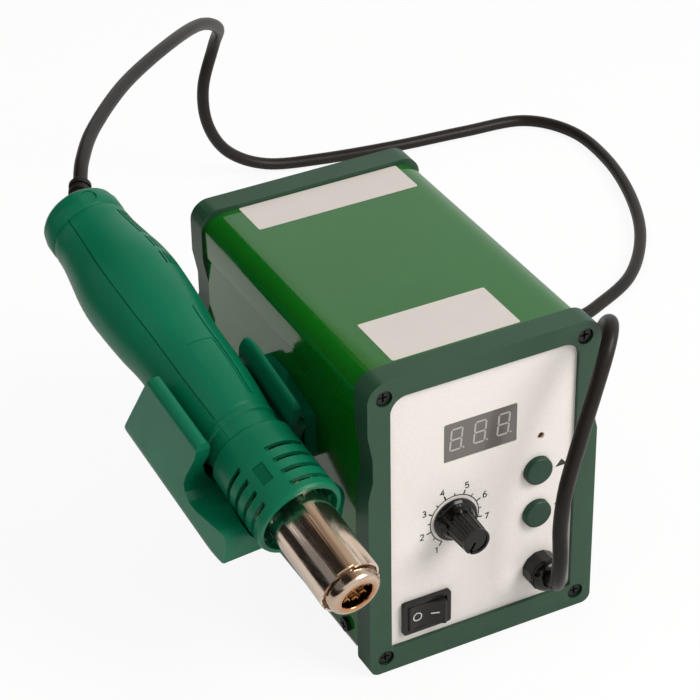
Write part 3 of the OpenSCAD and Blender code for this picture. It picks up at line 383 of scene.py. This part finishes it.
# How far the lip stands out, its height, and the radius and the step in degrees of its round edge
LIP, LID_Z, LIP_R, LIP_STEP = 1.0, 115.8, 0.8, 15
# Groove under the lip: its depth, and how far below the lip it starts, is full and ends
GROOVE, GROOVE_LOW, GROOVE_FULL, GROOVE_TOP = 0.6, 1, 0.9, 0.2
# Length of a bend, which tightens towards the side, its steps, and the thickness of the sheet
BEND, BEND_STEPS, SHEET = 17, 34, 1.2
lo, hi = (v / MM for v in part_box("case_cover"))
half = [(hi.x, lo.z), (hi.x, LID_Z - GROOVE_LOW), (hi.x - GROOVE, LID_Z - GROOVE_FULL),
        (hi.x - GROOVE, LID_Z - GROOVE_TOP)]
half += [(hi.x + LIP - LIP_R + LIP_R * math.sin(a), LID_Z + LIP_R - LIP_R * math.cos(a))
         for a in (math.radians(d) for d in range(0, 91, LIP_STEP))]
curve = [(0, 0)]
for k in range(BEND_STEPS):
    a = math.pi / 2 * ((k + 0.5) / BEND_STEPS) ** 2
    x, z = curve[-1]
    curve.append((x + math.cos(a) * BEND / BEND_STEPS, z + math.sin(a) * BEND / BEND_STEPS))
half += [(hi.x + LIP - curve[-1][0] + x, hi.z - z) for x, z in curve[::-1]]
skin = half + [(-x, z) for x, z in half[::-1]]
lining = [(max(SHEET - hi.x, min(hi.x - SHEET, x * (1 - SHEET / hi.x))), z - (SHEET if z > LID_Z else 0))
          for x, z in skin]
bm = bmesh.new()
rows = [[bm.verts.new(Vector((x, y, z)) * MM) for x, z in skin + lining[::-1]]
        for y in (lo.y, lo.y / 3, hi.y / 3, hi.y)]
n = len(rows[0])
for a, b in zip(rows, rows[1:]):
    for k in range(n):
        bm.faces.new((a[k], a[(k + 1) % n], b[(k + 1) % n], b[k]))
for row in (rows[0], rows[-1]):
    for k in range(n // 2 - 1):
        bm.faces.new((row[k], row[k + 1], row[n - 2 - k], row[n - 1 - k]))
bmesh.ops.recalc_face_normals(bm, faces=bm.faces)
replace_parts(new_mesh("cover_sheet", bm, "case_green", "station", smooth=25), "case_cover")


# Heating wire and its mica cross behind the outlet

# Arms of the cross: their angles, half their length and half their thickness, and their ends along the tube
ARM_ANGLES, ARM_HALF, ARM_T, ARM_ENDS = (35, 125), 6.4, 0.3, (-1.8, 1.4)
ARM_FACES = ((3, 2, 1, 0), (4, 5, 6, 7), (0, 1, 5, 4), (1, 2, 6, 5), (2, 3, 7, 6), (3, 0, 4, 7))
# Coils of wire around the axis: how many, the angle of the first, and their distance from the axis
COILS, COIL_ANGLE, COIL_AT = 8, 12, 4.9
# Each coil: its radius, where it starts along the tube, its rise for a radian, its turns and points in a turn
COIL_R, COIL_START, COIL_RISE, COIL_TURNS, COIL_POINTS = 1.1, -2.4, 1.3 / 6.2832, 3, 12
WIRE_R, WIRE_SIDES = 0.3, 6


def in_tube(u, n, t):
    return (TIP + AX_U * u + AX_N * n + AX_T * t) * MM


bm = bmesh.new()
for a in (math.radians(angle) for angle in ARM_ANGLES):
    d = Vector((math.cos(a), math.sin(a)))
    side = Vector((-d.y, d.x)) * ARM_T
    v = [bm.verts.new(in_tube(*(d * r + side * k), t)) for t in ARM_ENDS
         for r, k in ((-ARM_HALF, -1), (ARM_HALF, -1), (ARM_HALF, 1), (-ARM_HALF, 1))]
    for f in ARM_FACES:
        bm.faces.new([v[k] for k in f])
turns = [i * math.tau / COIL_POINTS for i in range(COIL_POINTS * COIL_TURNS + 1)]
for k in range(COILS):
    a = math.radians(k * 360 / COILS + COIL_ANGLE)
    c = Vector((math.cos(a), math.sin(a))) * COIL_AT
    coil = [in_tube(c.x + COIL_R * math.cos(b), c.y + COIL_R * math.sin(b), COIL_START + b * COIL_RISE)
            for b in turns]
    wire = tube(coil, WIRE_R * MM, WIRE_SIDES, (coil[1] - coil[0]).normalized(),
                (coil[-1] - coil[-2]).normalized())
    wire.verts.index_update()
    copied = [bm.verts.new(w.co) for w in wire.verts]
    for f in wire.faces:
        bm.faces.new([copied[w.index] for w in f.verts])
    wire.free()
new_mesh("outlet_wire", bm, "burnt_gold", "handset")


# Flat print and paper: outlines in millimetres on a surface, with a real thickness

# Thickness of print, steps of a round corner, and what keeps a sharp turn of the pen from growing too long
PRINT_T, CORNER_STEPS, MITRE = 0.03, 4, 0.5


def plate(bm, outline, place, thick):
    """A closed outline of points (a, b), put in space by place(a, b, height)."""
    low = [bm.verts.new(place(a, b, 0)) for a, b in outline]
    top = [bm.verts.new(place(a, b, thick)) for a, b in outline]
    bm.faces.new(top)
    bm.faces.new(low[::-1])
    for i in range(len(low)):
        j = (i + 1) % len(low)
        bm.faces.new((low[i], low[j], top[j], top[i]))


def stroke(bm, line, width, place, thick):
    """A line of points drawn with a pen of that width."""
    pts = [Vector(q) for q in line]
    near, far = [], []
    for i, q in enumerate(pts):
        d0 = (q - pts[i - 1]).normalized() if i else (pts[1] - q).normalized()
        d1 = (pts[i + 1] - q).normalized() if i < len(pts) - 1 else d0
        n = Vector((-(d0 + d1).y, (d0 + d1).x)).normalized()
        w = width / 2 / max(MITRE, n.dot(Vector((-d0.y, d0.x))))
        near.append(q - n * w)
        far.append(q + n * w)
    for i in range(len(pts) - 1):
        plate(bm, [tuple(v) for v in (near[i], near[i + 1], far[i + 1], far[i])], place, thick)


def bow(x, z, rx, rz, a0, a1, n=14):
    """Points on an arc around (x, z) from one angle to the other, in n steps."""
    turns = [math.radians(a0 + (a1 - a0) * i / n) for i in range(n + 1)]
    return [(x + rx * math.cos(a), z + rz * math.sin(a)) for a in turns]


def rounded(x0, x1, y0, y1, r):
    """Outline of a rectangle with round corners."""
    corners = ((x1 - r, y1 - r), (x0 + r, y1 - r), (x0 + r, y0 + r), (x1 - r, y0 + r))
    return [q for k, (x, y) in enumerate(corners) for q in bow(x, y, r, r, 90 * k, 90 * k + 90, CORNER_STEPS)]


# Numbers of the dial, drawn in a box from -0.5 to 0.5 high
DIGIT = {
    1: [[(-0.2, 0.28), (0.04, 0.5), (0.04, -0.5)]],
    2: [bow(0, 0.22, 0.27, 0.28, 165, -35) + [(-0.28, -0.5), (0.3, -0.5)]],
    3: [bow(0, 0.25, 0.25, 0.25, 150, -80) + bow(0, -0.24, 0.28, 0.26, 80, -150)],
    4: [[(0.12, -0.5), (0.12, 0.5), (-0.31, -0.18), (0.32, -0.18)]],
    5: [[(0.25, 0.5), (-0.21, 0.5), (-0.25, 0.04)] + bow(0, -0.18, 0.28, 0.32, 128, -150)],
    6: [bow(0, -0.2, 0.27, 0.3, 90, 450, 22), bow(0.16, -0.16, 0.43, 0.66, 176, 82)],
    7: [[(-0.29, 0.5), (0.29, 0.5), (-0.08, -0.5)]],
    8: [bow(0, 0.25, 0.23, 0.25, 90, 450, 20), bow(0, -0.25, 0.28, 0.26, 90, 450, 20)],
}
# Dial: its centre, and the arc's radius, width, first angle and sweep
DIAL, ARC_R, ARC_W, ARC_FROM, ARC_SWEEP = Vector((-12.1, 62.7)), 10.6, 0.45, 238.5, 297
# Ticks: how many, where they start, the ends and widths of long and short ones, and their thickness
TICKS, TICK_R, TICK_ENDS, TICK_WIDTHS, TICK_T = 15, 10.5, (12.7, 11.8), (0.6, 0.5), 0.032
# Numbers at the long ticks: their distance from the centre, their height and the width of their strokes
NUMBER_R, NUMBER_H, NUMBER_W = 14.8, 2.6, 0.52
# Gap under the print on the panel, and the arrows of the two keys
PANEL_GAP = 0.005
ARROWS = ([(32.6, 71.0), (38.0, 71.0), (35.3, 74.2)], [(32.6, 53.6), (35.3, 50.4), (38.0, 53.6)])


def on_panel(a, b, h):
    return Vector((a, PANEL_Y - PANEL_GAP - h, b)) * MM


bm = bmesh.new()
stroke(bm, bow(DIAL.x, DIAL.y, ARC_R, ARC_R, ARC_FROM, ARC_FROM - ARC_SWEEP, n=60), ARC_W, on_panel, PRINT_T)
for k in range(TICKS):
    a = math.radians(ARC_FROM - ARC_SWEEP * k / (TICKS - 1))
    d = Vector((math.cos(a), math.sin(a)))
    stroke(bm, [DIAL + d * TICK_R, DIAL + d * TICK_ENDS[k % 2]], TICK_WIDTHS[k % 2], on_panel, TICK_T)
    if k % 2 == 0:
        c = DIAL + d * NUMBER_R
        for line in DIGIT[k // 2 + 1]:
            stroke(bm, [(c.x + x * NUMBER_H, c.y + z * NUMBER_H) for x, z in line], NUMBER_W, on_panel,
                   PRINT_T)
for arrow in ARROWS:
    plate(bm, arrow, on_panel, PRINT_T)
new_mesh("panel_print", bm, "ink", "station")


# Smooth floor of the collar's recess, a darker green than the handle that paints the recess's shade: its
# angle
# # around the handset, its distance from the axis and its thickness, then its outline and the radius of its
# corners
FIELD_ANGLE, FIELD_R, FIELD_T = 122.5, 17.12, 0.05
FIELD = (-2.35, 2.35, 45.65, 54.35, 0.3)
outward, around = (AX_U * math.cos(a) + AX_N * math.sin(a)
                   for a in (math.radians(FIELD_ANGLE), math.radians(FIELD_ANGLE + 90)))


def on_collar(a, b, h):
    return (TIP + outward * (FIELD_R + h) + around * a + AX_T * b) * MM


bm = bmesh.new()
plate(bm, rounded(*FIELD), on_collar, FIELD_T)
new_mesh("collar_field", bm, "recess_green", "handset")


# Unlit figures of the display: middle of the first one, the step between them, half width and three heights
FIGURE_X, FIGURE_STEP, FIGURE_W = -11.5, 10.27, 2.35
FIGURE_LOW, FIGURE_MID, FIGURE_TOP = 94.6, 99.3, 104.0
# Slant of the figures, how deep they lie behind the panel's front, and their thickness
SLANT, FIGURE_DEEP, FIGURE_T = 0.095, 0.245, 0.02
# Bars: half width, gap at the ends and length of the points; and the dot's place and radius
BAR_W, BAR_GAP, BAR_POINT = 0.36, 0.16, 0.34
DOT_X, DOT_Z, DOT_R = 3.55, 0.1, 0.42


def on_window(a, b, h):
    return Vector((a + (b - FIGURE_MID) * SLANT, PANEL_Y + FIGURE_DEEP - h, b)) * MM


bm = bmesh.new()
for k in range(3):
    x = FIGURE_X + FIGURE_STEP * k
    x0, x1 = x - FIGURE_W, x + FIGURE_W
    bars = [((x0, z), (x1, z)) for z in (FIGURE_LOW, FIGURE_MID, FIGURE_TOP)]
    bars += [((xa, za), (xa, zb)) for za, zb in ((FIGURE_LOW, FIGURE_MID), (FIGURE_MID, FIGURE_TOP))
             for xa in (x0, x1)]
    for p, q in bars:
        p, q = Vector(p), Vector(q)
        d = (q - p).normalized()
        n = Vector((-d.y, d.x)) * BAR_W
        p, q = p + d * BAR_GAP, q - d * BAR_GAP
        m = d * BAR_POINT
        plate(bm, [tuple(v) for v in (p, p + m - n, q - m - n, q, q - m + n, p + m + n)], on_window,
              FIGURE_T)
    plate(bm, bow(x + DOT_X, FIGURE_LOW + DOT_Z, DOT_R, DOT_R, 0, 342, n=19), on_window, FIGURE_T)
new_mesh("display_figures", bm, "segment", "station")


# Marks of the power switch, on the slopes of its key: the key's axis, and its lean at rest
ROCKER_AT = Vector((-24.9, PANEL_Y + 0.1, 22.5))
ROCKER_LEAN = Matrix.Rotation(math.radians(-10), 3, "Z")
# Face of the key: its place at the middle, how far it comes out up to the crease, where the crease is, and
# the run of the steeper slope after it
KEY_MID, KEY_OUT, KEY_CREASE, KEY_RUN = -2.3, 0.6, 4.345, 2.855
# Gap under the marks; the ring's middle, radius and stroke; the bar's start, step, points and stroke
ROCKER_GAP = 0.01
RING_X, RING_R, RING_W = -4, 1.75, 0.45
LINE_X, LINE_STEP, LINE_POINTS, LINE_W = 1.6, 0.2, 18, 0.55


def on_rocker(a, b, h):
    x = abs(a)
    if x < KEY_CREASE:
        y = KEY_MID - KEY_OUT * x / KEY_CREASE
    else:
        y = KEY_MID - KEY_OUT - (x - KEY_CREASE) / KEY_RUN
    return (ROCKER_LEAN @ Vector((a, y - ROCKER_GAP - h, b)) + ROCKER_AT) * MM


bm = bmesh.new()
stroke(bm, bow(RING_X, 0, RING_R, RING_R, 0, 360, n=40), RING_W, on_rocker, PRINT_T)
stroke(bm, [(LINE_X + LINE_STEP * i, 0) for i in range(LINE_POINTS)], LINE_W, on_rocker, PRINT_T)
new_mesh("rocker_marks", bm, "mark_white", "power_rocker")


# Two blank paper labels on the cover: left, right, front and back edges, then the radius of the corners, the
# thickness and the height
LABELS = ((-33.3, 38.7, 46, 65.2), (-32, 22.8, -62.1, -34.3))
LABEL_R, LABEL_T, LABEL_Z = 0.8, 0.1, 134.01


def on_top(a, b, h):
    return Vector((a, b, LABEL_Z + h)) * MM


bm = bmesh.new()
for edges in LABELS:
    plate(bm, rounded(*edges, LABEL_R), on_top, LABEL_T)
new_mesh("blank_labels", bm, "paper", "station")


# Floor, studio walls that only metal and gloss see, and light

# Shares of the floor that are plain white, for the camera and for gloss; half its size; and its height, just
# under the lowest piece
FLOOR_SHARES, FLOOR_SIZE, FLOOR_Z = (0.9, 0.15), 4, -0.0004


def shows(tree, camera=1.0, gloss=1.0):
    """How much of the white background a ray sees: one share for the camera, one for gloss and glass."""
    lp = tree.nodes.new("ShaderNodeLightPath")
    seen = None
    for ray, share in (("Is Camera Ray", camera), ("Is Glossy Ray", gloss), ("Is Transmission Ray", gloss)):
        m = tree.nodes.new("ShaderNodeMath")
        m.operation = "MULTIPLY_ADD"
        m.use_clamp = True
        m.inputs[1].default_value = share
        m.inputs[2].default_value = 0
        tree.links.new(lp.outputs[ray], m.inputs[0])
        if seen:
            tree.links.new(seen, m.inputs[2])
        seen = m.outputs[0]
    return seen


bm = bmesh.new()
bmesh.ops.create_grid(bm, x_segments=1, y_segments=1, size=FLOOR_SIZE)
floor = new_mesh("floor", bm, "floor", None)
floor.location.z = FLOOR_Z
t = MAT["floor"].node_tree
glow = t.nodes.new("ShaderNodeEmission")
mix = t.nodes.new("ShaderNodeMixShader")
t.links.new(shows(t, *FLOOR_SHARES), mix.inputs[0])
t.links.new(t.nodes["Principled BSDF"].outputs[0], mix.inputs[1])
t.links.new(glow.outputs[0], mix.inputs[2])
t.links.new(mix.outputs[0], t.nodes["Material Output"].inputs[0])


def card(name, a, b, light):
    """A studio card of its own brightness between two corners, which only gloss sees."""
    (x0, y0, z0), (x1, y1, z1) = a, b
    bm = bmesh.new()
    if y0 == y1:
        across = ((x1, y0, z0), (x0, y0, z1))
    else:
        across = ((x0, y1, z0), (x1, y0, z1))
    bm.faces.new([bm.verts.new(v) for v in (a, across[0], b, across[1])])
    m = bpy.data.materials.new(name)
    m.use_nodes = True
    t = m.node_tree
    t.nodes.clear()
    out = t.nodes.new("ShaderNodeOutputMaterial")
    glow = t.nodes.new("ShaderNodeEmission")
    glow.inputs[0].default_value = (*light, 1)
    t.links.new(glow.outputs[0], out.inputs[0])
    MAT[name] = m
    obj = new_mesh(name, bm, name, None)
    for rays in ("camera", "diffuse", "shadow", "transmission", "volume_scatter"):
        setattr(obj, "visible_" + rays, False)


# Where the cards stand. The dark ones keep the cover's bend and the tube from mirroring the white background.
DARK = (0.03, 0.027, 0.022)
card("card_low", (-0.33, -0.6, 0), (-0.33, 1, 0.15), (0.02, 0.018, 0.016))
card("card_left", (-0.9, -0.9, 0.13), (-0.9, 0.5, 0.86), (0.27, 0.27, 0.28))
card("card_soft", (-0.9, 0.5, 0.13), (-0.9, 0.72, 0.86), (1.0, 0.98, 0.95))
card("card_roof", (-0.9, -1.2, 0.9), (-0.15, 1.6, 1.5), DARK)
card("card_dim", (-0.15, -1.2, 1.5), (0.28, 1.6, 1.5), (0.33, 0.25, 0.19))
card("card_warm", (0.28, -1.2, 1.5), (0.9, 1.6, 1.4), (0.62, 0.53, 0.42))
card("card_back", (-1.8, 1.4, 0.2), (0.2, 1.4, 1.45), DARK)

LAMP_COLOUR = (1, 0.975, 0.95)


def area(name, at, to, size, power):
    """A soft lamp at one point that faces another."""
    d = bpy.data.lights.new(name, "AREA")
    d.shape = "RECTANGLE"
    d.size, d.size_y = size
    d.energy = power
    d.color = LAMP_COLOUR
    o = bpy.data.objects.new(name, d)
    scene.collection.objects.link(o)
    o.location = at
    o.rotation_euler = (Vector(to) - Vector(at)).to_track_quat("-Z", "Y").to_euler()
    return o


area("key", (0.75, -0.9, 1.0), (0, 0, 0.06), (0.8, 0.8), 19)
area("top", (0.3, 0.6, 1.4), (0, 0.05, 0.05), (0.9, 0.9), 4.5).visible_glossy = False
area("left", (-0.75, -0.1, 1.15), (-0.05, 0, 0.08), (1.2, 0.7), 5.5).visible_glossy = False

# World: a dim sky that lights the object, and plain white where the camera, gloss and glass see it
SKY, SKY_STRENGTH = (0.88, 0.86, 0.84), 0.26
world = bpy.data.worlds.new("studio")
scene.world = world
world.use_nodes = True
t = world.node_tree
t.nodes.clear()
out = t.nodes.new("ShaderNodeOutputWorld")
sky = t.nodes.new("ShaderNodeBackground")
white = t.nodes.new("ShaderNodeBackground")
white.inputs[0].default_value = (1, 1, 1, 1)
sky.inputs[0].default_value = (*SKY, 1)
sky.inputs[1].default_value = SKY_STRENGTH
mix = t.nodes.new("ShaderNodeMixShader")
t.links.new(shows(t), mix.inputs[0])
t.links.new(sky.outputs[0], mix.inputs[1])
t.links.new(white.outputs[0], mix.inputs[2])
t.links.new(mix.outputs[0], out.inputs[0])
scene.view_settings.view_transform = "Standard"
